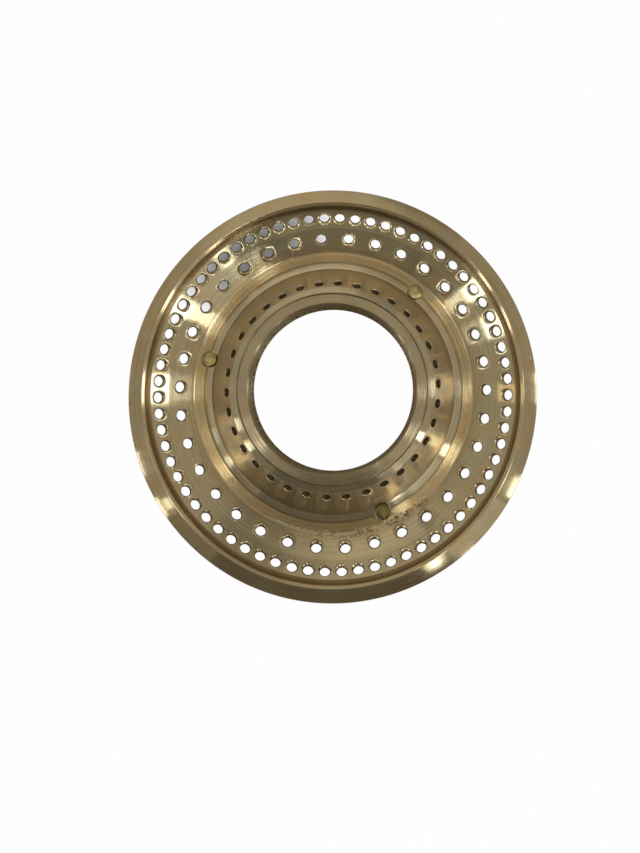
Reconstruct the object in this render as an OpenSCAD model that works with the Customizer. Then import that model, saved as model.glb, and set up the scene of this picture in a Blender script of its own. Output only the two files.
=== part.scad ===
// Brass burner cap of a gas stove: a turned port ring, an inner collar and three lock pins.
// The cap stands on its crown with the open gas channel facing up.
// Millimetres, +Z up, origin at the centre of the crown face.

/* [Rim and seat] */
// Outer diameter of the rim
rim_d = 100; // [94:0.5:120]
// Width of the sloping rim face, from the outer edge to the highest line
rim_w = 3.5; // [2.5:0.1:4]
// Drop of the rim face towards the outer edge
rim_fall = 1.0; // [0.3:0.1:1.8]
// Height of the rim's outer wall
flange_h = 3.0; // [2:0.1:3.6]
// Chamfer at the inner edge of the rim
rim_chamfer = 0.6; // [0.3:0.1:0.9]
// Depth of the base seat below the highest line of the rim
seat_depth = 3.5; // [2.5:0.1:4.5]
// Width of the flat base seat
seat_w = 0.7; // [0.5:0.1:1]

/* [Perforated wall] */
// Width of the steep outer band, measured in plan
outer_band_w = 3.8; // [3.4:0.1:4.6]
// Slope of the outer band, in degrees from level
outer_band_slope = 37; // [32:1:42]
// Width of the gentler inner band, measured in plan
inner_band_w = 5.8; // [5:0.1:6.6]
// Slope of the inner band, in degrees from level
inner_band_slope = 31; // [27:1:35]
// Thickness of the perforated wall, measured square to it
wall_t = 1.3; // [1.1:0.1:2.2]
// Thickness of the crown under the channel floor
floor_t = 3.15; // [2.6:0.05:3.5]
// Radius where the perforated wall runs into the channel floor
valley_radius = 1.2; // [0.4:0.1:2]
// Radius of the crown's outer edge
crown_radius = 1.0; // [0.4:0.1:2]

/* [Flame ports] */
// Number of ports in the outer row
outer_port_count = 68; // [40:1:72]
// Distance of the outer row from the base seat, in plan
outer_row_inset = 1.8; // [1.6:0.1:2]
// Turn of the outer row, in degrees
outer_row_turn = 3.15; // [0:0.05:9]
// Number of ports in the second row
second_port_count = 34; // [20:1:50]
// Distance of the second row from the crease between the bands, in plan
second_row_inset = 2.7; // [1.8:0.1:4]
// Turn of the second row, in degrees
second_row_turn = -0.45; // [-9:0.05:9]
// Diameter of a flame port
port_d = 2.6; // [1.6:0.1:2.8]
// Chamfer at the mouth of a flame port
port_chamfer = 0.22; // [0.1:0.02:0.3]

/* [Inner collar] */
// Diameter of the centre bore
bore_d = 41.2; // [38:0.2:43]
// Chamfer at both ends of the centre bore
bore_chamfer = 0.4; // [0.2:0.1:0.8]
// Width of the flat lip round the bore
lip_w = 2.6; // [2:0.1:3.2]
// Width and depth of the fine groove round the lip
lip_groove = 0.4; // [0.2:0.05:0.5]
// Width of the gentle ring above the collar wall, in plan
top_ring_w = 1.6; // [1.2:0.1:2]
// Slope of that ring, in degrees from level
top_ring_slope = 22; // [15:1:28]
// Height of the steep collar wall
collar_wall_h = 6.6; // [5.8:0.1:7.6]
// Slope of the collar wall, in degrees from level
collar_wall_slope = 49; // [46:1:54]
// Width of the gentle ring at the foot of the collar wall, in plan
foot_ring_w = 2.1; // [1.6:0.1:2.4]
// Slope of the foot ring, in degrees from level
foot_ring_slope = 19; // [15:1:28]
// Step of the collar's foot above the channel floor
foot_step = 0.25; // [0.2:0.05:0.8]
// Thickness of the ledge that carries the collar
ledge_t = 1.6; // [1.2:0.1:1.8]
// Width of the ledge that carries the collar
ledge_w = 4.0; // [2.5:0.1:5]

/* [Inner ports] */
// Number of ports through the collar
inner_port_count = 34; // [20:1:40]
// Diameter of an inner port
inner_port_d = 2.2; // [1.4:0.1:2.4]
// Chamfer at the mouth of an inner port
inner_port_chamfer = 0.1; // [0.05:0.05:0.2]
// Distance of the inner ports from the upper edge of the collar wall, in plan
inner_row_inset = 1.15; // [1.05:0.05:2]
// Turn of the inner ports, in degrees
inner_row_turn = 2.45; // [0:0.05:9]
// Lean of an inner port from upright, in degrees
inner_port_lean = 45; // [42:1:56]

/* [Lock pins] */
// Diameter of a lock pin
pin_d = 4.0; // [2.4:0.1:4.4]
// Distance of the pin circle inside the seam
pin_inset = 0.4; // [0:0.1:0.8]
// Height of a pin above the upper edge of the foot ring
pin_proud = 0.2; // [0:0.05:0.6]
// Chamfer at the upper edge of a pin
pin_chamfer = 0.3; // [0.1:0.05:0.5]
// Turn of the first lock pin, in degrees
pin_1_turn = 49.5; // [0:0.5:119]
// Turn of the second lock pin, in degrees
pin_2_turn = 167; // [120:0.5:239]
// Turn of the third lock pin, in degrees
pin_3_turn = 292.5; // [240:0.5:359]

/* [Fits] */
// Radial clearance of the collar in the port ring
collar_clearance = 0.03; // [0.01:0.01:0.1]
// Radial clearance of a pin in its hole
pin_clearance = 0.02; // [0.01:0.01:0.1]

/* [Hidden] */
$fn = 96;

// Small radius that breaks a turned edge, and the radius under the flange
edge_radius = 0.25;
flange_radius = 0.8;
// Steps of one rounded corner, and the overlap of a cutter past a face
corner_steps = 5;
cut = 1;

// Radii of the port ring, from the rim inwards
rim_r = rim_d / 2;
peak_r = rim_r - rim_w;
seat_bore_r = peak_r - rim_chamfer;
wall_top_r = seat_bore_r - seat_w;
crease_r = wall_top_r - outer_band_w;
valley_r = crease_r - inner_band_w;

// Heights of the port ring, from the crown upwards
crease_z = floor_t + inner_band_w * tan(inner_band_slope);
seat_z = crease_z + outer_band_w * tan(outer_band_slope);
peak_z = seat_z + seat_depth;
rim_edge_z = peak_z - rim_fall;
flange_z = rim_edge_z - flange_h;

// Outside of the perforated wall, one wall thickness square to its inside
outer_normal = [sin(outer_band_slope), -cos(outer_band_slope)];
inner_normal = [sin(inner_band_slope), -cos(inner_band_slope)];
outside_crease = [crease_r, crease_z]
    + wall_t * (outer_normal + inner_normal) / (1 + outer_normal * inner_normal);
cone_foot_r = outside_crease[0] - outside_crease[1] / tan(inner_band_slope);
neck_r = outside_crease[0] + (flange_z - outside_crease[1]) / tan(outer_band_slope);

// Places of the flame ports on the inside of the wall
outer_row_r = wall_top_r - outer_row_inset;
outer_row_z = seat_z - outer_row_inset * tan(outer_band_slope);
second_row_r = crease_r - second_row_inset;
second_row_z = crease_z - second_row_inset * tan(inner_band_slope);

// Radii of the collar, from the bore outwards
bore_r = bore_d / 2;
lip_r = bore_r + lip_w;
top_ring_r = lip_r + lip_groove;
collar_wall_r = top_ring_r + top_ring_w;
foot_ring_r = collar_wall_r + collar_wall_h / tan(collar_wall_slope);
foot_r = foot_ring_r + foot_ring_w;
spigot_r = foot_r - ledge_w;

// Heights of the collar, from its foot upwards
foot_z = floor_t + foot_step;
foot_ring_z = foot_z + foot_ring_w * tan(foot_ring_slope);
collar_wall_z = foot_ring_z + collar_wall_h;
lip_z = collar_wall_z + top_ring_w * tan(top_ring_slope);

// Places of the inner ports and the lock pins
inner_row_r = collar_wall_r + inner_row_inset;
inner_row_z = collar_wall_z - inner_row_inset * tan(collar_wall_slope);
inner_port_l = (inner_row_r - bore_r) / sin(inner_port_lean);
pin_turns = [pin_1_turn, pin_2_turn, pin_3_turn];
pin_circle_r = foot_r - pin_inset;
pin_top_z = foot_ring_z + pin_proud;

// Edge of the crown: in line with the outside of the wall, or further out to keep metal round the pin holes
pin_edge_r = pin_circle_r + pin_d / 2 + pin_clearance + ledge_t / 2;
pin_foot_r = pin_edge_r - ledge_t * (outside_crease[0] - pin_edge_r) / (outside_crease[1] - ledge_t);
crown_r = max(cone_foot_r, pin_foot_r);

// Direction from one point to another, one unit long
function toward(from, to) = (to - from) / norm(to - from);

// Corner at b between a and c, rounded by an arc that is kept within its two sides
function round_corner(a, b, c, radius) =
    let (
        u = toward(b, a),
        v = toward(b, c),
        half = acos(u * v) / 2,
        reach = min(radius / tan(half), 0.45 * min(norm(a - b), norm(c - b))),
        r = reach * tan(half),
        centre = b + toward([0, 0], u + v) * r / sin(half),
        start = b + u * reach - centre,
        side = start[0] * (v * reach + b - centre)[1] - start[1] * (v * reach + b - centre)[0],
        sweep = sign(side) * (180 - 2 * half)
    )
    [for (i = [0 : corner_steps])
        let (a = sweep * i / corner_steps)
        centre + [start[0] * cos(a) - start[1] * sin(a), start[0] * sin(a) + start[1] * cos(a)]];

// Outline from corners written as [radius from the axis, height, rounding]
function outline(corners) =
    let (n = len(corners), p = [for (k = corners) [k[0], k[1]]])
    [for (i = [0 : n - 1])
        each corners[i][2] > 0
            ? round_corner(p[(i + n - 1) % n], p[i], p[(i + 1) % n], corners[i][2])
            : [p[i]]];

// Section of the port ring before its centre is bored out
function ring_section() = outline([
    [0, 0, 0],
    [crown_r, 0, crown_radius],
    [outside_crease[0], outside_crease[1], 0],
    [neck_r, flange_z, flange_radius],
    [rim_r, flange_z, edge_radius],
    [rim_r, rim_edge_z, edge_radius],
    [peak_r, peak_z, edge_radius],
    [seat_bore_r, peak_z - rim_chamfer, 0],
    [seat_bore_r, seat_z, 0],
    [wall_top_r, seat_z, 0],
    [crease_r, crease_z, 0],
    [valley_r, floor_t, valley_radius],
    [0, floor_t, 0]
]);

// Section of the inner collar
function collar_section() = outline([
    [bore_r + bore_chamfer, 0, 0],
    [spigot_r, 0, edge_radius],
    [spigot_r, ledge_t, 0],
    [foot_r, ledge_t, 0],
    [foot_r, foot_z, edge_radius],
    [foot_ring_r, foot_ring_z, 0],
    [collar_wall_r, collar_wall_z, edge_radius],
    [top_ring_r, lip_z, 0],
    [top_ring_r, lip_z - lip_groove, 0],
    [lip_r, lip_z - lip_groove, 0],
    [lip_r, lip_z, 0],
    [bore_r + bore_chamfer, lip_z, 0],
    [bore_r, lip_z - bore_chamfer, 0],
    [bore_r, bore_chamfer, 0]
]);

// One port along +Z through a wall below z = 0, with a mouth that widens by its chamfer
module port(diameter, depth, chamfer) {
    r = diameter / 2;
    rotate_extrude()
        polygon([
            [0, -depth],
            [r, -depth],
            [r, -chamfer],
            [r + 2 * chamfer, chamfer],
            [0, chamfer]
        ]);
}

// Ring of ports with their mouths on one circle, each leaning from upright by the angle given
module port_row(count, turn, radius, height, lean, diameter, depth, chamfer) {
    for (i = [0 : count - 1])
        rotate([0, 0, turn + i * 360 / count])
            translate([radius, 0, height])
                rotate([0, lean, 0])
                    port(diameter, depth, chamfer);
}

// Holes of the lock pins, half in the port ring and half in the collar
module pin_holes() {
    for (turn = pin_turns)
        rotate([0, 0, turn])
            translate([pin_circle_r, 0, ledge_t])
                cylinder(d = pin_d + 2 * pin_clearance, h = pin_top_z);
}

module port_ring() {
    color([0.72, 0.60, 0.38])
    difference() {
        rotate_extrude()
            polygon(ring_section());
        translate([0, 0, -cut])
            cylinder(r = spigot_r + collar_clearance, h = floor_t + 2 * cut);
        translate([0, 0, ledge_t])
            cylinder(r = foot_r + collar_clearance, h = floor_t + cut);
        port_row(outer_port_count, outer_row_turn, outer_row_r, outer_row_z, -outer_band_slope,
            port_d, wall_t + cut, port_chamfer);
        port_row(second_port_count, second_row_turn, second_row_r, second_row_z, -inner_band_slope,
            port_d, wall_t + cut, port_chamfer);
        pin_holes();
    }
}

module inner_collar() {
    color([0.66, 0.53, 0.33])
    difference() {
        rotate_extrude()
            polygon(collar_section());
        port_row(inner_port_count, inner_row_turn, inner_row_r, inner_row_z, inner_port_lean,
            inner_port_d, inner_port_l + inner_port_d, inner_port_chamfer);
        pin_holes();
    }
}

// Lock pin number i, driven into the seam between the port ring and the collar
module lock_pin(i) {
    color([0.70, 0.60, 0.30])
    rotate([0, 0, pin_turns[i - 1]])
        translate([pin_circle_r, 0, ledge_t]) {
            shank_h = pin_top_z - ledge_t - pin_chamfer;
            cylinder(d = pin_d, h = shank_h);
            translate([0, 0, shank_h])
                cylinder(d1 = pin_d, d2 = pin_d - 2 * pin_chamfer, h = pin_chamfer);
        }
}

port_ring();
inner_collar();
lock_pin(1);  // lock_pin_1
lock_pin(2);  // lock_pin_2
lock_pin(3);  // lock_pin_3
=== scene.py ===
import math
import random

import bmesh
import bpy
import numpy as np
from mathutils import Matrix, Vector


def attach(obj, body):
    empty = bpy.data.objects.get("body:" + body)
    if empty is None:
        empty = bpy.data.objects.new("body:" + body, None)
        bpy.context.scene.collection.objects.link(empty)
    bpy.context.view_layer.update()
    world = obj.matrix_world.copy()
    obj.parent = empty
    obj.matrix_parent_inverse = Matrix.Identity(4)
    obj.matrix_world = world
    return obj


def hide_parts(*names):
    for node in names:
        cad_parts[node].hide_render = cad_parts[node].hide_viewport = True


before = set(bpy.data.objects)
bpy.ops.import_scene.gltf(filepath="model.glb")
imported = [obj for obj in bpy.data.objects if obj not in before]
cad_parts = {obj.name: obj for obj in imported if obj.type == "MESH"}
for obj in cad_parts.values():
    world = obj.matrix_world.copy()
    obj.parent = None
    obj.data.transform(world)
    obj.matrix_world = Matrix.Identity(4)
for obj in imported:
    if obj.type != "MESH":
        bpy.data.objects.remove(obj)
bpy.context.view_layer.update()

# Driving sizes of the cap in millimetres, the same as those of its solids
RIM_R = 50.0
RIM_W = 3.5
RIM_FALL = 1.0
FLANGE_H = 3.0
RIM_CHAMFER = 0.6
SEAT_DEPTH = 3.5
SEAT_W = 0.7
OUTER_BAND_W = 3.8
OUTER_SLOPE = math.radians(37)
INNER_BAND_W = 5.8
INNER_SLOPE = math.radians(31)
WALL_T = 1.3
FLOOR_T = 3.15
VALLEY_RADIUS = 1.2
CROWN_RADIUS = 1.0
EDGE_RADIUS = 0.25
FLANGE_RADIUS = 0.8
PORT_R = 1.3
PORT_CHAMFER = 0.22
OUTER_ROW_INSET = 1.8
SECOND_ROW_INSET = 2.7
BORE_R = 20.6
BORE_CHAMFER = 0.4
LIP_W = 2.6
LIP_GROOVE = 0.4
TOP_RING_W = 1.6
TOP_RING_SLOPE = math.radians(22)
COLLAR_WALL_H = 6.6
COLLAR_SLOPE = math.radians(49)
FOOT_RING_W = 2.1
FOOT_RING_SLOPE = math.radians(19)
FOOT_STEP = 0.25
LEDGE_T = 1.6
LEDGE_W = 4.0
INNER_PORT_R = 1.1
INNER_PORT_CHAMFER = 0.1
INNER_PORT_LEAN = math.radians(45)
INNER_ROW_INSET = 1.15
PIN_R = 2.0
PIN_INSET = 0.4
PIN_PROUD = 0.2
PIN_TURNS = [math.radians(turn) for turn in (49.5, 167, 292.5)]
COLLAR_CLEARANCE = 0.03
MM = 0.001

# Radii and heights that follow from them
PEAK_R = RIM_R - RIM_W
SEAT_BORE_R = PEAK_R - RIM_CHAMFER
WALL_TOP_R = SEAT_BORE_R - SEAT_W
CREASE_R = WALL_TOP_R - OUTER_BAND_W
VALLEY_R = CREASE_R - INNER_BAND_W
CREASE_Z = FLOOR_T + INNER_BAND_W * math.tan(INNER_SLOPE)
SEAT_Z = CREASE_Z + OUTER_BAND_W * math.tan(OUTER_SLOPE)
PEAK_Z = SEAT_Z + SEAT_DEPTH
RIM_EDGE_Z = PEAK_Z - RIM_FALL
FLANGE_Z = RIM_EDGE_Z - FLANGE_H
OUTER_ROW_R = WALL_TOP_R - OUTER_ROW_INSET
SECOND_ROW_R = CREASE_R - SECOND_ROW_INSET
LIP_R = BORE_R + LIP_W
TOP_RING_R = LIP_R + LIP_GROOVE
COLLAR_WALL_R = TOP_RING_R + TOP_RING_W
FOOT_RING_R = COLLAR_WALL_R + COLLAR_WALL_H / math.tan(COLLAR_SLOPE)
FOOT_R = FOOT_RING_R + FOOT_RING_W
SPIGOT_R = FOOT_R - LEDGE_W
FOOT_Z = FLOOR_T + FOOT_STEP
FOOT_RING_Z = FOOT_Z + FOOT_RING_W * math.tan(FOOT_RING_SLOPE)
COLLAR_WALL_Z = FOOT_RING_Z + COLLAR_WALL_H
LIP_Z = COLLAR_WALL_Z + TOP_RING_W * math.tan(TOP_RING_SLOPE)
INNER_ROW_R = COLLAR_WALL_R + INNER_ROW_INSET
INNER_ROW_Z = COLLAR_WALL_Z - INNER_ROW_INSET * math.tan(COLLAR_SLOPE)
PIN_CIRCLE_R = FOOT_R - PIN_INSET
PIN_TOP_Z = FOOT_RING_Z + PIN_PROUD

# Burr that drilling raised round a flame port, and how far a port wanders from its place
BURR_W = 0.22
BURR_H = 0.05
INNER_BURR_H = 0.015
PORT_WANDER = 0.03
# Gap round each pin where the seam has filled with dirt, and how far the pin sits off its hole's centre
PIN_GAPS = (0.03, 0.2, 0.14)
PIN_SHIFTS = ((0.0, 0.0), (-0.12, 0.08), (0.05, 0.1))

# Sides of a pin, the facets filed on its head, and its head from the middle out: share of radius, drop
PIN_SIDES = 48
PIN_FACETS = 6
PIN_HEAD = ((0.2, 0), (0.4, 0), (0.6, 0), (0.78, 0.01), (0.9, 0.04), (0.97, 0.08), (1.0, 0.18))
# Least room above a pin for the cutter of its hole, and width of the strip that joins two rows at a crease
CUTTER_ROOM = 1.0
CREASE_STRIP = 0.12

# Rows of ports: count, turn, points along a tile and points up its side
OUTER_ROW = (68, math.radians(3.15), 8, 6)
SECOND_ROW = (34, math.radians(-0.45), 16, 9)
INNER_ROW = (34, math.radians(2.45), 16, 12)
# Points round one turn, steps of a rounded corner and the share of a side that it may take
SEGMENTS = 544
CORNER_STEPS = 4
CORNER_SHARE = 0.45
# Reach of a weld in metres, and the angle from which an edge is sharp
WELD = 2e-7
SHARP_ANGLE = math.radians(28)
# Finishes of a mesh, by material index
TURNED, DRILLED, BURR = 0, 1, 2


def rounded(corners):
    """Outline through corners (radius, height, rounding), with each rounding as an arc."""
    path = []
    for i, (r, z, radius) in enumerate(corners):
        if radius <= 0:
            path.append((r, z))
            continue
        before, corner, after = (np.array(corners[k][:2]) for k in (i - 1, i, i + 1))
        u = (before - corner) / np.linalg.norm(before - corner)
        v = (after - corner) / np.linalg.norm(after - corner)
        half = math.acos(u @ v) / 2
        room = CORNER_SHARE * min(np.linalg.norm(before - corner), np.linalg.norm(after - corner))
        reach = min(radius / math.tan(half), room)
        size = reach * math.tan(half)
        centre = corner + (u + v) / np.linalg.norm(u + v) * size / math.sin(half)
        start = corner + u * reach - centre
        end = corner + v * reach - centre
        sweep = math.copysign(math.pi - 2 * half, start[0] * end[1] - start[1] * end[0])
        for k in range(CORNER_STEPS + 1):
            a = sweep * k / CORNER_STEPS
            path.append((centre[0] + start[0] * math.cos(a) - start[1] * math.sin(a),
                         centre[1] + start[0] * math.sin(a) + start[1] * math.cos(a)))
    return path


def share_at(low, high, r):
    """How far along a straight stretch of the section a radius lies, from 0 to 1."""
    return (r - low[0]) / (high[0] - low[0])


class TurnedMesh:
    """Points and faces of a turned and drilled piece, in millimetres, welded when it is finished."""

    def __init__(self):
        self.points = []
        self.faces = []
        self.finishes = []

    def add(self, points):
        start = len(self.points)
        self.points.extend(points)
        return range(start, len(self.points))

    def ring(self, r, z, phase):
        angles = phase + np.arange(SEGMENTS) * 2 * math.pi / SEGMENTS
        return self.add([(r * math.cos(a), r * math.sin(a), z) for a in angles])

    def strip(self, first, second, finish=TURNED):
        """Close two loops of equal length into a band of faces."""
        count = len(first)
        for i in range(count):
            k = (i + 1) % count
            self.faces.append((first[i], first[k], second[k], second[i]))
            self.finishes.append(finish)

    def turned(self, path, phase):
        """Revolve an outline, all of it at one phase."""
        rings = [self.ring(r, z, phase) for r, z in path]
        for low, high in zip(rings, rings[1:]):
            self.strip(low, high)

    def change_phase(self, low, low_phase, high, high_phase):
        """Join a ring at one phase to a ring at another with the least twist."""
        turn = 2 * math.pi / SEGMENTS
        twist = round((low_phase - high_phase) / turn) * turn
        self.strip(self.ring(*low, low_phase), self.ring(*high, high_phase + twist))

    def drilled(self, low, high, row, centre, mouth, stretch=1.0, angles=None, burr=0.0, seed=0):
        """Band between two points of the section, with one round hole in the middle of each tile.

        Returns the holes' loops and the angles of their points.
        """
        rng = random.Random(seed)
        count, turn, across, up = row
        tile = 2 * math.pi / count
        low, high = np.array(low), np.array(high)
        slant = np.linalg.norm(high - low)
        along = (high - low) / slant
        facing = np.array((-along[1], along[0])) * (1 if along[0] > 0 else -1)
        reach = low[0] + centre * (high[0] - low[0])
        ends = np.linspace(-0.5, 0.5, across + 1)
        sides = np.linspace(0, 1, up + 1)
        edge = [(a, 0.0) for a in ends]
        edge += [(0.5, t) for t in sides[1:]]
        edge += [(a, 1.0) for a in ends[::-1][1:]]
        edge += [(-0.5, t) for t in sides[::-1][1:-1]]
        edge = np.array([(a * tile * reach, (t - centre) * slant) for a, t in edge])
        if angles is None:
            angles = np.arctan2(edge[:, 1], edge[:, 0])
        circle = np.stack([np.cos(angles), np.sin(angles) * stretch], 1)
        foot = circle * (mouth + (BURR_W if burr else 0))
        loops = []
        for j in range(count):
            wander = np.array([rng.gauss(0, PORT_WANDER), rng.gauss(0, PORT_WANDER)]) * (burr > 0)
            lift = burr * rng.uniform(0.5, 1.5)
            rows = [(edge * (1 - s) + (foot + wander) * s, 0.0, TURNED) for s in (0.0, 0.4, 0.75, 1.0)]
            if burr:
                rows.append((circle * (mouth + 0.45 * BURR_W) + wander, lift, BURR))
                rows.append((circle * mouth + wander, 0.3 * lift, BURR))
            previous = None
            for flat, height, finish in rows:
                theta = turn + j * tile + flat[:, 0] / reach
                t = centre + flat[:, 1] / slant
                r = low[0] + t * (high[0] - low[0]) + height * facing[0]
                z = low[1] + t * (high[1] - low[1]) + height * facing[1]
                loop = self.add(np.stack([r * np.cos(theta), r * np.sin(theta), z], 1).tolist())
                if previous is not None:
                    self.strip(previous, loop, finish)
                previous = loop
            loops.append(np.array([self.points[i] for i in previous]))
        return loops, angles

    def bores(self, mouths, exits, narrowing, depth, steps, chamfer):
        """Walls of the ports, from a chamfered mouth to the exit on the far face."""
        for mouth, out in zip(mouths, exits):
            centre = mouth.mean(0)
            inward = out.mean(0) - centre
            inward /= np.linalg.norm(inward)
            throat = centre + (mouth - centre) * narrowing + inward * depth
            previous = self.add(mouth.tolist())
            for k in range(steps + 1):
                loop = self.add((throat + (out - throat) * k / steps).tolist())
                self.strip(previous, loop, DRILLED if k else chamfer)
                previous = loop

    def finish(self, name):
        """Weld the patches into one closed mesh and link its object to the scene."""
        mesh = bpy.data.meshes.new(name)
        mesh.from_pydata((np.array(self.points) * MM).tolist(), [], self.faces)
        mesh.polygons.foreach_set("material_index", self.finishes)
        work = bmesh.new()
        work.from_mesh(mesh)
        bmesh.ops.remove_doubles(work, verts=work.verts, dist=WELD)
        bmesh.ops.recalc_face_normals(work, faces=work.faces)
        work.to_mesh(mesh)
        work.free()
        made = bpy.data.objects.new(name, mesh)
        bpy.context.scene.collection.objects.link(made)
        return made


def row_phase(row):
    """Phase of the rings that a row of tiles meets."""
    return row[1] - math.pi / row[0]


def build_port_ring():
    """Outer ring: crown, perforated wall with two rows of ports, flange, rim and base seat."""
    made = TurnedMesh()
    outer_n = np.array((math.sin(OUTER_SLOPE), -math.cos(OUTER_SLOPE)))
    inner_n = np.array((math.sin(INNER_SLOPE), -math.cos(INNER_SLOPE)))
    crease = np.array((CREASE_R, CREASE_Z))
    outside = crease + WALL_T * (outer_n + inner_n) / (1 + outer_n @ inner_n)
    crown_r = outside[0] - outside[1] / math.tan(INNER_SLOPE)
    neck_r = outside[0] + (FLANGE_Z - outside[1]) / math.tan(OUTER_SLOPE)
    mouth = PORT_R + PORT_CHAMFER
    crease_step = CREASE_STRIP * np.array((math.cos(OUTER_SLOPE), math.sin(OUTER_SLOPE)))
    hub = SPIGOT_R + COLLAR_CLEARANCE
    foot = FOOT_R + COLLAR_CLEARANCE

    crown = rounded([(hub, 0, 0), (crown_r, 0, CROWN_RADIUS), (*outside, 0)])
    rim = rounded([
        (*outside, 0),
        (neck_r, FLANGE_Z, FLANGE_RADIUS),
        (RIM_R, FLANGE_Z, EDGE_RADIUS),
        (RIM_R, RIM_EDGE_Z, EDGE_RADIUS),
        (PEAK_R, PEAK_Z, EDGE_RADIUS),
        (SEAT_BORE_R, PEAK_Z - RIM_CHAMFER, 0),
        (SEAT_BORE_R, SEAT_Z, 0),
        (WALL_TOP_R, SEAT_Z, 0),
    ])
    floor = rounded([
        (*crease, 0),
        (VALLEY_R, FLOOR_T, VALLEY_RADIUS),
        (foot, FLOOR_T, 0),
        (foot, LEDGE_T, 0),
        (hub, LEDGE_T, 0),
        (hub, 0, 0),
    ])

    # Each row: inside band, outside band, port circle, outward shift of the exits, and seed
    rows = (
        (OUTER_ROW, crease + crease_step, (WALL_TOP_R, SEAT_Z), outside + crease_step, rim[1],
         OUTER_ROW_R, WALL_T * outer_n[0], 1),
        (SECOND_ROW, floor[1], crease, crown[-2], outside,
         SECOND_ROW_R, WALL_T * inner_n[0], 2),
    )
    for row, low, high, low_out, high_out, row_r, shift, seed in rows:
        mouths, angles = made.drilled(
            low, high, row, share_at(low, high, row_r), mouth, burr=BURR_H, seed=seed)
        exits, _ = made.drilled(
            low_out, high_out, row, share_at(low_out, high_out, row_r + shift), PORT_R, angles=angles)
        made.bores(mouths, exits, PORT_R / mouth, PORT_CHAMFER, 3, DRILLED)

    # Turned stretches, and the creases where one row's spacing gives way to the other's
    outer_phase, second_phase = row_phase(OUTER_ROW), row_phase(SECOND_ROW)
    made.turned(crown[:-1], second_phase)
    made.turned(rim[1:], outer_phase)
    made.turned(floor[1:], second_phase)
    made.change_phase(crease, second_phase, crease + crease_step, outer_phase)
    made.change_phase(outside, second_phase, outside + crease_step, outer_phase)
    return made.finish("port_ring_turned")


def build_collar():
    """Inner collar: bore, lip with its groove, conical wall with inner ports, and foot."""
    made = TurnedMesh()
    mouth = INNER_PORT_R + INNER_PORT_CHAMFER
    wall_low = (FOOT_RING_R, FOOT_RING_Z)
    top = rounded([
        (*wall_low, 0),
        (COLLAR_WALL_R, COLLAR_WALL_Z, EDGE_RADIUS),
        (TOP_RING_R, LIP_Z, 0),
        (TOP_RING_R, LIP_Z - LIP_GROOVE, 0),
        (LIP_R, LIP_Z - LIP_GROOVE, 0),
        (LIP_R, LIP_Z, 0),
        (BORE_R + BORE_CHAMFER, LIP_Z, 0),
        (BORE_R, LIP_Z - BORE_CHAMFER, 0),
    ])
    foot = rounded([
        (BORE_R, BORE_CHAMFER, 0),
        (BORE_R + BORE_CHAMFER, 0, 0),
        (SPIGOT_R, 0, EDGE_RADIUS),
        (SPIGOT_R, LEDGE_T, 0),
        (FOOT_R, LEDGE_T, 0),
        (FOOT_R, FOOT_Z, EDGE_RADIUS),
        (*wall_low, 0),
    ])
    mouth_share = share_at(wall_low, top[1], INNER_ROW_R)
    mouths, angles = made.drilled(
        wall_low, top[1], INNER_ROW, mouth_share, mouth, burr=INNER_BURR_H, seed=3)
    exit_z = INNER_ROW_Z - (INNER_ROW_R - BORE_R) / math.tan(INNER_PORT_LEAN)
    bore_low, bore_high = foot[0], top[-1]
    exit_share = (exit_z - bore_low[1]) / (bore_high[1] - bore_low[1])
    exits, _ = made.drilled(
        bore_low, bore_high, INNER_ROW, exit_share, INNER_PORT_R, 1 / math.sin(INNER_PORT_LEAN), angles)
    made.bores(mouths, exits, INNER_PORT_R / mouth, INNER_PORT_CHAMFER, 6, DRILLED)
    made.turned(top[1:], row_phase(INNER_ROW))
    made.turned(foot, row_phase(INNER_ROW))
    return made.finish("inner_collar_turned")


def build_pin(name, turn, shift, seed):
    """Lock pin with a head that was hammered flat and filed: uneven facets and a worn edge."""
    rng = random.Random(seed)
    made = TurnedMesh()
    facets = [(rng.uniform(0, 2 * math.pi), rng.uniform(0.1, 0.35), rng.uniform(0.5, 1.4))
              for _ in range(PIN_FACETS)]
    lobes = [(k, rng.uniform(0.02, 0.05), rng.uniform(0, 2 * math.pi)) for k in (2, 3, 5, 6)]
    turns = [k * 2 * math.pi / PIN_SIDES for k in range(PIN_SIDES)]
    ripple = [-sum(size * (1 + math.cos(k * a + phase)) for k, size, phase in lobes) for a in turns]
    centre_x = PIN_CIRCLE_R * math.cos(turn) + shift[0]
    centre_y = PIN_CIRCLE_R * math.sin(turn) + shift[1]

    def head_point(x, y, drop):
        cuts = [tilt * (x * math.cos(a) + y * math.sin(a) - start) for a, tilt, start in facets]
        return centre_x + x, centre_y + y, PIN_TOP_Z - max(0.0, *cuts) - drop + rng.gauss(0, 0.008)

    loops = []
    for share, drop in PIN_HEAD:
        ring = [(a, (PIN_R + uneven) * share) for a, uneven in zip(turns, ripple)]
        loops.append(made.add([head_point(r * math.cos(a), r * math.sin(a), drop) for a, r in ring]))
    shank = [(centre_x + (PIN_R + uneven) * math.cos(a), centre_y + (PIN_R + uneven) * math.sin(a))
             for a, uneven in zip(turns, ripple)]
    loops.append(made.add([(x, y, FLOOR_T) for x, y in shank]))
    loops.append(made.add([(x, y, LEDGE_T) for x, y in shank]))
    for low, high in zip(loops, loops[1:]):
        made.strip(low, high)
    made.faces += [tuple(loops[0]), tuple(loops[-1])]
    made.finishes += [TURNED, TURNED]
    return made.finish(name)


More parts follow.
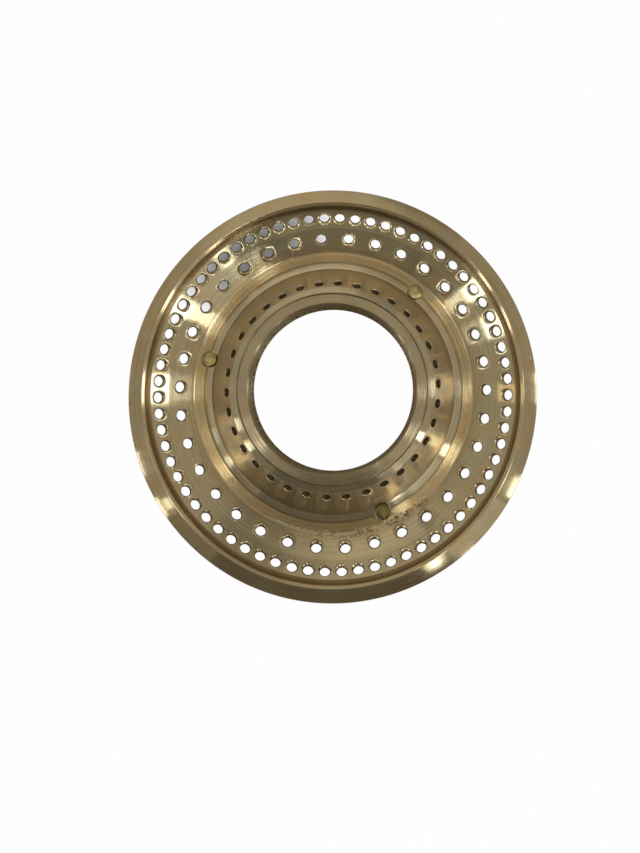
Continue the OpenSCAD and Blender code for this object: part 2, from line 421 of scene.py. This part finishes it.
def cut_pin_holes(pieces):
    """Cut the holes of the lock pins, with a little room round each pin, into the turned pieces."""
    cutters = []
    top = PIN_TOP_Z + CUTTER_ROOM
    for turn, gap in zip(PIN_TURNS, PIN_GAPS):
        x, y = PIN_CIRCLE_R * math.cos(turn), PIN_CIRCLE_R * math.sin(turn)
        bpy.ops.mesh.primitive_cylinder_add(
            vertices=64, radius=(PIN_R + gap) * MM, depth=(top - LEDGE_T) * MM,
            location=(x * MM, y * MM, (top + LEDGE_T) / 2 * MM))
        cutter = bpy.context.object
        cutter.data.materials.append(None)
        cutter.data.materials.append(None)
        for face in cutter.data.polygons:
            face.material_index = DRILLED
        cutters.append(cutter)
    for piece in pieces:
        for cutter in cutters:
            cut = piece.modifiers.new("pin_hole", "BOOLEAN")
            cut.operation = "DIFFERENCE"
            cut.solver = "EXACT"
            cut.object = cutter
        graph = bpy.context.evaluated_depsgraph_get()
        mesh = bpy.data.meshes.new_from_object(piece.evaluated_get(graph))
        piece.modifiers.clear()
        piece.data = mesh
    for cutter in cutters:
        bpy.data.objects.remove(cutter)


class Graph:
    """Short forms for building a node tree."""

    def __init__(self, tree):
        self.tree = tree
        tree.nodes.clear()

    def add(self, kind, inputs=None, **settings):
        made = self.tree.nodes.new(kind)
        for key, value in settings.items():
            setattr(made, key, value)
        for key, value in (inputs or {}).items():
            if isinstance(value, bpy.types.NodeSocket):
                self.tree.links.new(value, made.inputs[key])
            else:
                made.inputs[key].default_value = value
        return made

    def math(self, operation, *values):
        return self.add("ShaderNodeMath", dict(enumerate(values)), operation=operation).outputs[0]

    def product(self, first, *others):
        for other in others:
            first = self.math("MULTIPLY", first, other)
        return first

    def vector_math(self, operation, inputs, output="Vector"):
        return self.add("ShaderNodeVectorMath", inputs, operation=operation).outputs[output]

    def smooth(self, value, low, high):
        """0 below low and 1 above high, or the other way round where low is the larger."""
        inputs = {0: value, 1: low, 2: high}
        return self.add("ShaderNodeMapRange", inputs, interpolation_type="SMOOTHSTEP").outputs[0]

    def within(self, value, start, full, fade, end):
        """0 outside start and end, and 1 between full and fade."""
        return self.product(self.smooth(value, start, full), self.smooth(value, end, fade))

    def scale(self, value, low, high):
        """A value from 0 to 1 stretched to a range."""
        return self.math("MULTIPLY_ADD", value, high - low, low)

    def noise(self, vector, scale, detail=2.0, roughness=0.5):
        made = self.add("ShaderNodeTexNoise",
                        {"Vector": vector, "Scale": scale, "Detail": detail, "Roughness": roughness})
        return made.outputs["Fac"]

    def mix(self, factor, first, second, blend="MIX"):
        inputs = {0: factor, 6: first, 7: second}
        return self.add("ShaderNodeMix", inputs, data_type="RGBA", blend_type=blend).outputs[2]

    def bump(self, strength, depth, height):
        """Normal of a surface whose height changes by a depth in metres."""
        inputs = {"Strength": strength, "Distance": depth, "Height": height}
        return self.add("ShaderNodeBump", inputs).outputs[0]

    def ramp(self, factor, stops):
        """Colour and strength that change with a factor, by stops of place, colour and strength."""
        made = self.add("ShaderNodeValToRGB", {0: factor})
        points = made.color_ramp.elements
        while len(points) < len(stops):
            points.new(1.0)
        for point, (place, colour, strength) in zip(points, stops):
            point.position = place
            point.color = (*colour, strength)
        return made.outputs["Color"], made.outputs["Alpha"]

    def toward(self, unit, azimuth, inner, outer):
        """1 within an angle of an azimuth and 0 outside a wider one, all in degrees."""
        aim = (math.cos(math.radians(azimuth)), math.sin(math.radians(azimuth)), 0)
        dot = self.vector_math("DOT_PRODUCT", {0: unit, 1: aim}, "Value")
        return self.smooth(dot, math.cos(math.radians(outer)), math.cos(math.radians(inner)))

    def vector(self, x, y, z):
        return self.add("ShaderNodeCombineXYZ", {0: x, 1: y, 2: z}).outputs[0]


class Place:
    """Where a shaded point is on the cap: radius and height in millimetres, and its side."""

    def __init__(self, graph):
        self.object = graph.add("ShaderNodeTexCoord").outputs["Object"]
        split = graph.add("ShaderNodeSeparateXYZ", {0: self.object})
        flat = graph.vector(split.outputs[0], split.outputs[1], 0)
        self.unit = graph.vector_math("NORMALIZE", {0: flat})
        self.r = graph.math("DIVIDE", graph.vector_math("LENGTH", {0: flat}, "Value"), MM)
        self.z = graph.math("DIVIDE", split.outputs[2], MM)


def start_material(name):
    """New material, the graph of its nodes, and the place of a shaded point."""
    material = bpy.data.materials.new(name)
    material.use_nodes = True
    graph = Graph(material.node_tree)
    return material, graph, Place(graph)


def brass_shader(graph, colour, roughness, bump, anisotropy, metallic=1.0, grooves=None):
    """Brass that is rough across its tool marks and smooth along them, with a share of steeper grooves."""
    tangent = graph.add("ShaderNodeTangent", direction_type="RADIAL", axis="Z").outputs[0]
    common = {"Base Color": colour, "Metallic": metallic, "Specular IOR Level": 0.5 * metallic,
              "Anisotropic": anisotropy, "Anisotropic Rotation": 0.25, "Tangent": tangent}
    plain = {**common, "Roughness": roughness, "Normal": bump}
    surface = graph.add("ShaderNodeBsdfPrincipled", plain).outputs[0]
    if grooves:
        share, dullness, slopes = grooves
        steep = {**common, "Roughness": dullness, "Normal": slopes}
        grooved = graph.add("ShaderNodeBsdfPrincipled", steep).outputs[0]
        surface = graph.add("ShaderNodeMixShader", {0: share, 1: surface, 2: grooved}).outputs[0]
    graph.add("ShaderNodeOutputMaterial", {"Surface": surface})


def groove_slopes(graph, place, lean, steepest, bump):
    """Normal of the fine grooves, which tilt up and down the section but not round it."""
    travel = graph.math("MULTIPLY_ADD", place.z, lean, place.r)
    number = graph.math("FLOOR", graph.math("MULTIPLY", travel, GROOVES_PER_MM))
    chance = graph.add("ShaderNodeTexWhiteNoise", {"W": number}, noise_dimensions="1D").outputs["Value"]
    tilt = graph.product(graph.scale(chance, -1.0, 1.0), steepest)
    outward = graph.vector_math("SCALE", {0: place.unit, "Scale": tilt})
    leaning = graph.vector_math("ADD", {0: bump, 1: outward})
    return graph.vector_math("NORMALIZE", {0: leaning})


def tool_marks(graph, place, lean):
    """Fine and broad marks of the turning tool, which run round the piece."""
    travel = graph.math("MULTIPLY_ADD", place.z, lean, place.r)
    side = graph.add("ShaderNodeSeparateXYZ", {0: place.unit})
    fine = graph.vector(graph.product(travel, FINE_PER_MM), side.outputs[0], side.outputs[1])
    broad = graph.vector(graph.product(travel, BROAD_PER_MM), side.outputs[0], side.outputs[1])
    return graph.noise(fine, 1.0, 3.0, 0.6), graph.noise(broad, 1.0, 2.0)


def turned_brass(name, base, bands, lean, dullness, painted_side_light=None, flaws=None, bright_lines=None):
    """Turned brass with tarnish, painted light and shade, and roughness in bands by radius, tool marks,
    blotches and fine pits.
    """
    material, graph, place = start_material(name)
    fine, broad = tool_marks(graph, place, lean)
    first_r, last_r = bands[0][0], bands[-1][0]
    across = graph.math("DIVIDE", graph.math("SUBTRACT", place.r, first_r), last_r - first_r)
    places = [(band[0] - first_r) / (last_r - first_r) for band in bands]
    tint, roughness = graph.ramp(across, [(at, band[1], band[2]) for at, band in zip(places, bands)])
    steepest, share = graph.ramp(
        across, [(at, 3 * (band[4],), band[3]) for at, band in zip(places, bands)])
    colour = graph.mix(1.0, (*base, 1), tint, "MULTIPLY")
    blotch = graph.noise(place.object, 140, 4.0, 0.6)
    hue = graph.noise(place.object, 260, 3.0, 0.6)
    hue = graph.mix(graph.smooth(hue, 0.3, 0.7), REDDISH, GREENISH)
    colour = graph.mix(1.0, colour, hue, "MULTIPLY")
    shade = graph.product(
        graph.scale(blotch, 0.8, 1.2), graph.scale(broad, 0.8, 1.2), graph.scale(fine, 0.82, 1.18))
    # Painted light and shade by side, where given
    if painted_side_light:
        shade = graph.product(shade, painted_side_light(graph, place))
    colour = graph.mix(1.0, colour, graph.vector(shade, shade, shade), "MULTIPLY")
    specks = graph.smooth(graph.noise(place.object, 1900, 2.0), 0.66, 0.76)
    patches = graph.smooth(graph.noise(place.object, 170, 2.0), 0.5, 0.68)
    pits = graph.product(specks, patches)
    if flaws:
        pits = graph.math("MAXIMUM", pits, flaws(graph, place))
    colour = graph.mix(graph.product(pits, 0.7), colour, PIT_COLOUR)
    if bright_lines:
        colour = graph.mix(graph.product(bright_lines(graph, place), 0.8), colour, BRIGHT_LINE_COLOUR)
    rough = graph.math("ADD", graph.scale(blotch, -0.02, 0.02), graph.scale(fine, -0.02, 0.02))
    rough = graph.math("ADD", rough, graph.math("MULTIPLY_ADD", pits, 0.3, roughness))
    chatter = graph.noise(place.object, 250, 1.0)
    marks = graph.product(graph.math("ADD", broad, fine), 0.5)
    marks = graph.math("MULTIPLY_ADD", chatter, 0.8, marks)
    height = graph.math("SUBTRACT", marks, graph.product(pits, 1.2))
    bump = graph.bump(1.0, MARK_DEPTH, height)
    slopes = groove_slopes(graph, place, lean, steepest, bump)
    brass_shader(graph, colour, rough, bump, 1.0, grooves=(share, dullness, slopes))
    return material


def ring_flaws(graph, place):
    """Pitting on the channel's floor near 5 o'clock, a stain by a port beside it, and nicks on the rim."""
    rough = graph.noise(place.object, 1700, 3.0, 0.75)
    clumps = graph.smooth(graph.noise(place.object, 420, 2.0), 0.36, 0.52)
    near = graph.product(
        graph.within(place.r, 34.7, 35.2, 36.2, 37.0), graph.toward(place.unit, 287, 18, 27))
    pitted = graph.product(graph.smooth(rough, 0.47, 0.57), near, clumps)
    by_port = graph.product(
        graph.within(place.r, 37.6, 39.0, 40.8, 42.6), graph.toward(place.unit, 306.5, 1.5, 5))
    stain = graph.product(by_port, graph.smooth(clumps, -0.4, 1.2), 0.45)
    nick = graph.smooth(graph.noise(place.object, 1100, 1.0), 0.70, 0.74)
    on_rim = graph.product(graph.smooth(place.r, 48.4, 49.0), graph.toward(place.unit, 190, 50, 70))
    flaws = graph.math("MAXIMUM", pitted, stain)
    return graph.math("MAXIMUM", flaws, graph.product(nick, on_rim))


def ring_painted_side_light(graph, place):
    """Brightness of the perforated wall: painted light on the far side and painted shade on the near one.
    """
    on_wall = graph.within(place.r, 34.0, 36.5, 42.5, 45.2)
    painted_far_light = graph.product(graph.toward(place.unit, 84, 18, 34), on_wall)
    painted_near_shade = graph.product(graph.toward(place.unit, 246, 12, 26), on_wall)
    painted_side_light = graph.math("MULTIPLY_ADD", painted_far_light, 0.45, 1.0)
    return graph.math("MULTIPLY_ADD", painted_near_shade, -0.2, painted_side_light)


def ring_bright_lines(graph, place):
    """Bright lines along the foot of the perforated wall, near 10 and 7 o'clock."""
    wander = graph.scale(graph.noise(place.unit, 9.0, 2.0), -0.25, 0.25)
    away = graph.math("ABSOLUTE", graph.math("SUBTRACT", graph.math("ADD", place.r, wander), BRIGHT_LINE_R))
    broken = graph.smooth(graph.noise(place.unit, 60.0), 0.4, 0.5)
    near_side = graph.toward(place.unit, 254.5, 6, 10)
    where = graph.math("MAXIMUM", near_side, graph.toward(place.unit, 151, 9, 13))
    return graph.product(graph.smooth(away, 0.13, 0.05), broken, where)


def drilled_brass(name, base, roughness, metallic=1.0):
    """Inside of a drilled hole or a pin's gap: darker, duller brass with smoke stains."""
    material, graph, place = start_material(name)
    stain = graph.noise(place.object, 500, 3.0)
    colour = graph.mix(stain, (*base, 1), (*(0.35 * c for c in base), 1))
    bump = graph.bump(0.4, MARK_DEPTH / 2, stain)
    rough = graph.scale(stain, roughness - 0.1, roughness + 0.1)
    brass_shader(graph, colour, rough, bump, 0.3, metallic)
    return material


def filed_brass(name, base, roughness):
    """Head of a pin: yellower brass with crossing file scratches and dirt, and painted shade on the third
    pin.
    """
    material, graph, place = start_material(name)
    x, y, z = graph.add("ShaderNodeSeparateXYZ", {0: place.object}).outputs
    strokes = graph.vector(graph.product(x, 0.15), y, z)
    crossed = graph.vector(x, graph.product(y, 0.15), z)
    scratch = graph.math("MAXIMUM", graph.noise(strokes, 5200, 3.0), graph.noise(crossed, 4300, 3.0))
    blotch = graph.noise(place.object, 900, 3.0)
    colour = graph.mix(graph.smooth(blotch, 0.35, 0.7), (*base, 1), (*(0.5 * c for c in base), 1))
    colour = graph.mix(graph.smooth(scratch, 0.55, 0.75), colour, (*(1.25 * c for c in base), 1))
    # The third pin, at about 5 o'clock, is darkened with painted shade
    painted_pin_shade = graph.product(graph.toward(place.unit, 292.5, 6, 9), 0.75)
    colour = graph.mix(painted_pin_shade, colour, PIN_PAINTED_SHADE_COLOUR)
    bump = graph.bump(0.6, MARK_DEPTH, scratch)
    brass_shader(graph, colour, graph.scale(blotch, roughness - 0.1, roughness + 0.15), bump, 0.0)
    return material


# Brass of the cap, and how its hue wanders
BRASS = (0.385, 0.302, 0.166)
REDDISH = (1.04, 0.97, 0.90, 1)
GREENISH = (0.96, 1.02, 1.06, 1)
# Dirt in pits, the light colour of the bright lines along the foot of the perforated wall, and painted
# shade on a pin
PIT_COLOUR = (0.05, 0.036, 0.018, 1)
BRIGHT_LINE_COLOUR = (0.78, 0.70, 0.52, 1)
PIN_PAINTED_SHADE_COLOUR = (0.045, 0.034, 0.012, 1)
# Radius of the bright lines along the foot of the perforated wall
BRIGHT_LINE_R = 35.2
# Tool marks per millimetre, steeper grooves per millimetre, and depth of a mark in metres
FINE_PER_MM = 5.5
BROAD_PER_MM = 1.6
GROOVES_PER_MM = 60.0
MARK_DEPTH = 2e-5
# Finish by radius: radius, tint of the brass, roughness, share of steeper grooves, their largest slope
RING_BANDS = [
    (29.0, (0.90, 0.88, 0.85), 0.30, 0.5, 0.34),
    (33.2, (0.96, 0.88, 0.75), 0.10, 0.5, 0.34),
    (35.3, (0.96, 0.88, 0.75), 0.10, 0.5, 0.34),
    (35.6, (1.04, 1.02, 0.98), 0.14, 0.5, 0.30),
    # The perforated wall's lighter, greyer tint is partly its own colour and partly painted light
    (36.2, (1.02, 1.01, 0.98), 0.10, 0.35, 0.22),
    (38.2, (1.04, 1.06, 1.08), 0.07, 0.3, 0.20),
    (41.2, (1.05, 1.07, 1.09), 0.07, 0.3, 0.20),
    (41.4, (1.11, 1.12, 1.12), 0.10, 0.3, 0.20),
    (41.6, (1.05, 1.07, 1.09), 0.07, 0.3, 0.20),
    (45.05, (1.04, 1.06, 1.08), 0.07, 0.3, 0.20),
    (45.3, (0.86, 0.80, 0.72), 0.30, 0.5, 0.20),
    (45.85, (0.66, 0.60, 0.54), 0.30, 0.5, 0.20),
    (46.05, (1.15, 1.13, 1.08), 0.18, 0.3, 0.20),
    (46.9, (0.98, 0.96, 0.93), 0.07, 0.05, 0.20),
    (50.2, (0.95, 0.93, 0.90), 0.07, 0.05, 0.20),
]
COLLAR_BANDS = [
    # The bore's dark tint is painted shade
    (20.4, (0.64, 0.63, 0.64), 0.45, 0.5, 0.15),
    (20.65, (0.64, 0.63, 0.64), 0.45, 0.5, 0.15),
    (20.75, (0.74, 0.73, 0.72), 0.30, 0.5, 0.15),
    (21.2, (0.88, 0.88, 0.90), 0.07, 0.04, 0.15),
    (23.1, (0.88, 0.88, 0.90), 0.07, 0.04, 0.15),
    (23.22, (0.60, 0.56, 0.52), 0.32, 0.5, 0.15),
    (23.58, (0.60, 0.56, 0.52), 0.32, 0.5, 0.15),
    (23.7, (1.02, 1.05, 1.13), 0.08, 0.06, 0.15),
    (25.1, (1.02, 1.05, 1.13), 0.08, 0.06, 0.15),
    # The collar wall's light tint is painted light, for light that the brass round it reflects onto it
    (25.3, (1.38, 1.40, 1.55), 0.12, 0.45, 0.15),
    (30.8, (1.38, 1.40, 1.55), 0.12, 0.45, 0.15),
    (31.0, (1.18, 1.22, 1.32), 0.08, 0.06, 0.15),
    (33.2, (1.14, 1.16, 1.22), 0.10, 0.06, 0.15),
]

# The ring's material takes painted light and painted shade on two sides of its perforated wall
ring_brass = turned_brass(
    "ring_turned", BRASS, RING_BANDS, 0.7, 0.14, ring_painted_side_light, ring_flaws, ring_bright_lines)
collar_brass = turned_brass("collar_turned", BRASS, COLLAR_BANDS, -0.7, 0.34)
port_brass = drilled_brass("port_drilled", (0.20, 0.165, 0.11), 0.35)
burr_brass = drilled_brass("port_burr", (0.52, 0.48, 0.40), 0.3)
# The inner ports' light orange base is painted light, which lifts their deep, shaded insides to brown
inner_port_brass = drilled_brass("inner_port_drilled", (0.80, 0.42, 0.13), 0.7, 0.0)
pin_brass = filed_brass("pin_filed", (0.37, 0.29, 0.105), 0.38)

port_ring = build_port_ring()
collar = build_collar()
cut_pin_holes((port_ring, collar))
pieces = [
    (port_ring, "port_ring", "ring_brass", (ring_brass, port_brass, burr_brass)),
    (collar, "inner_collar", "collar_brass", (collar_brass, inner_port_brass, burr_brass)),
]
for i, (turn, shift) in enumerate(zip(PIN_TURNS, PIN_SHIFTS)):
    pin = build_pin(f"lock_pin_{i + 1}_filed", turn, shift, i + 11)
    pieces.append((pin, f"lock_pin_{i + 1}", "pin_brass", (pin_brass,)))
for piece, node, slot, materials in pieces:
    piece.data.materials.clear()
    for material in materials:
        piece.data.materials.append(material)
    piece.data.shade_smooth()
    piece.data.set_sharp_from_angle(angle=SHARP_ANGLE)
    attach(piece, "root")
    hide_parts(node)

# Camera: where the photograph was taken from, in a frame cut from a wider picture
PHOTO_W, PHOTO_H = 640, 853
FOCAL_PX = 784.7
AXIS_X, AXIS_Y = 345.2, 271.4
CAMERA_POS = Vector((5.71, -5.42, 206.08)) * MM
CAMERA_PITCH, CAMERA_ROLL = 0.175, 0.013
SENSOR = 36.0

camera = bpy.data.objects.new("camera", bpy.data.cameras.new("camera"))
bpy.context.scene.collection.objects.link(camera)
camera.data.sensor_fit = "VERTICAL"
camera.data.sensor_height = SENSOR
camera.data.lens = FOCAL_PX / PHOTO_H * SENSOR
camera.data.shift_x = (PHOTO_W / 2 - AXIS_X) / PHOTO_H
camera.data.shift_y = (AXIS_Y - PHOTO_H / 2) / PHOTO_H
camera.data.clip_start = 0.005
aim = Matrix.Rotation(CAMERA_PITCH, 4, "X") @ Matrix.Rotation(CAMERA_ROLL, 4, "Y")
camera.matrix_world = Matrix.Translation(CAMERA_POS) @ aim
bpy.context.scene.camera = camera


# Floor as the cap sees it: a painted glow of brass light under the cap and grey round it, and what the
# painted shadow leaves of the white
FLOOR_PAINTED_BRASS_GLOW = (0.34, 0.26, 0.15, 1)
FLOOR_GREY = (0.4, 0.4, 0.4, 1)
SHADOW_LEVEL = 0.2


def build_floor(size, glow):
    """White floor with a painted soft shadow round the foot of the cap and under its far side, and a
    painted brass glow under the cap.
    """
    bpy.ops.mesh.primitive_plane_add(size=size)
    made = bpy.context.object
    made.name = "floor"
    material, graph, place = start_material("floor_white")
    path = graph.add("ShaderNodeLightPath").outputs
    mirrored = graph.product(path["Is Glossy Ray"], graph.smooth(place.r, 60.0, 110.0))
    seen = graph.math("MAXIMUM", path["Is Camera Ray"], mirrored)
    seen = graph.math("MAXIMUM", seen, path["Is Transmission Ray"])
    # Painted shadows, drawn by radius and side: a ring round the cap's foot and a patch under its far side
    painted_contact_shadow = graph.within(place.r, 22.0, 27.0, 32.0, 38.5)
    painted_far_shadow = graph.product(
        graph.within(place.r, 30.0, 34.0, 45.0, 54.0), graph.toward(place.unit, 120, 5, 33))
    shadow = graph.math("MAXIMUM", painted_contact_shadow, painted_far_shadow)
    # Painted glow: brass-coloured floor under the cap
    grey_and_painted_glow = graph.mix(graph.smooth(place.r, 50.0, 60.0), FLOOR_PAINTED_BRASS_GLOW, FLOOR_GREY)
    diffuse = graph.add("ShaderNodeBsdfDiffuse", {"Color": grey_and_painted_glow}).outputs[0]
    lit = graph.scale(shadow, 1.0, SHADOW_LEVEL)
    white = graph.add("ShaderNodeEmission", {"Strength": lit}).outputs[0]
    mixed = graph.add("ShaderNodeMixShader", {0: graph.product(seen, glow), 1: diffuse, 2: white})
    graph.add("ShaderNodeOutputMaterial", {"Surface": mixed.outputs[0]})
    made.data.materials.append(material)


# Windows of the room: azimuth, half width, lowest and highest elevation in degrees, radiance
WINDOWS = [
    (1.8, 4.6, 18, 34, 7.0),
    (1.6, 6.9, 18, 34, 0.8),
    (2.1, 3.4, 34, 39, 0.5),
    (5.5, 4.2, 62, 81.5, 5.5),
    (199.1, 3.6, 18, 34, 6.0),
    (193.0, 3.2, 66, 80.5, 2.6),
    (212.2, 2.9, 18, 34.6, 7.5),
    (211.9, 1.8, 41, 50, 2.8),
    (212.0, 3.8, 60, 72, 6.0),
    (206.5, 4.2, 72, 79.9, 7.0),
    (299.9, 2.0, 45.0, 56, 8.0),
    (298.5, 3.8, 64, 80, 10.0),
    (310.0, 2.0, 18, 34, 6.5),
    (316, 11, 25, 86, 0.3),
    (333.0, 3.3, 18, 34, 7.5),
    (332.2, 2.9, 34, 42.5, 5.0),
    (334.0, 4.6, 60, 82.6, 9.0),
]
# Warm lamp, seen in the perforated wall at 3 o'clock, in the same order
LAMPS = [(177, 3.0, 12, 27, 1.6)]
# Sides of the room that are darker, or lighter low down: azimuth, half width, highest elevation, level
DARK_SIDES = [
    (264.3, 32.3, 90, 0.36),
    (223.5, 8.5, 90, 0.62),
    (301.8, 5.2, 42, 0.5),
    (264.3, 32.3, 33, 1.5),
    (65, 13, 40, 0.74),
]
# Half width of a soft edge in degrees: of a window sideways, of a window up and down, and of a dark side
PANE_EDGE = 0.4
SILL_EDGE = 0.9
DARK_EDGE = 0.6
DARK_TOP_EDGE = 1.0
ROOM_COLOUR = (1.0, 0.985, 0.95, 1)
DAYLIGHT = (0.80, 0.90, 1.04, 1)
LAMPLIGHT = (1.0, 0.86, 0.62, 1)


def height_of(elevation):
    """Upward part of a direction at an elevation in degrees."""
    return math.sin(math.radians(elevation))


def panes(graph, unit, up, group):
    """Summed radiance of a group of windows or lamps."""
    glow = 0.0
    for azimuth, half, low, high, radiance in group:
        edges = (low - SILL_EDGE, low + SILL_EDGE, high - SILL_EDGE, high + SILL_EDGE)
        sideways = graph.toward(unit, azimuth, half - PANE_EDGE, half + PANE_EDGE)
        pane = graph.product(sideways, graph.within(up, *map(height_of, edges)))
        glow = graph.math("MULTIPLY_ADD", pane, radiance, glow)
    return glow


def build_room(level, overhead, bright_side, bright_level):
    """Room light: brighter overhead and on one side, darker on others, with windows and a lamp.

    The camera itself sees it white.
    """
    world = bpy.data.worlds.new("room")
    bpy.context.scene.world = world
    world.use_nodes = True
    graph = Graph(world.node_tree)
    way = graph.add("ShaderNodeTexCoord").outputs["Generated"]
    split = graph.add("ShaderNodeSeparateXYZ", {0: way})
    flat = graph.vector(split.outputs[0], split.outputs[1], 0)
    unit = graph.vector_math("NORMALIZE", {0: flat})
    up = split.outputs[2]
    light = graph.scale(graph.smooth(up, 0.75, 1.0), level, overhead)
    for azimuth, half, top, dark_level in DARK_SIDES:
        dark = graph.toward(unit, azimuth, half - DARK_EDGE, half + DARK_EDGE)
        if top < 90:
            edge = (height_of(top + DARK_TOP_EDGE), height_of(top - DARK_TOP_EDGE))
            dark = graph.product(dark, graph.smooth(up, *edge))
        light = graph.product(light, graph.scale(dark, 1.0, dark_level))
    between = graph.within(up, height_of(24), height_of(38), 0.8, 0.98)
    bright = graph.product(graph.toward(unit, bright_side, 12, 38), between)
    light = graph.math("MULTIPLY_ADD", bright, bright_level, light)
    sources = ((ROOM_COLOUR, light), (DAYLIGHT, panes(graph, unit, up, WINDOWS)),
               (LAMPLIGHT, panes(graph, unit, up, LAMPS)))
    shaders = [graph.add("ShaderNodeBackground", {"Color": colour, "Strength": strength}).outputs[0]
               for colour, strength in sources]
    both = graph.add("ShaderNodeAddShader", {0: shaders[0], 1: shaders[1]}).outputs[0]
    both = graph.add("ShaderNodeAddShader", {0: both, 1: shaders[2]}).outputs[0]
    white = graph.add("ShaderNodeBackground", {"Color": (1, 1, 1, 1), "Strength": 1.0}).outputs[0]
    seen = graph.add("ShaderNodeLightPath").outputs["Is Camera Ray"]
    surface = graph.add("ShaderNodeMixShader", {0: seen, 1: both, 2: white}).outputs[0]
    graph.add("ShaderNodeOutputWorld", {"Surface": surface})


build_floor(6.0, 0.985)
build_room(0.63, 0.72, 104, 0.26)

bpy.context.scene.view_settings.view_transform = "Standard"
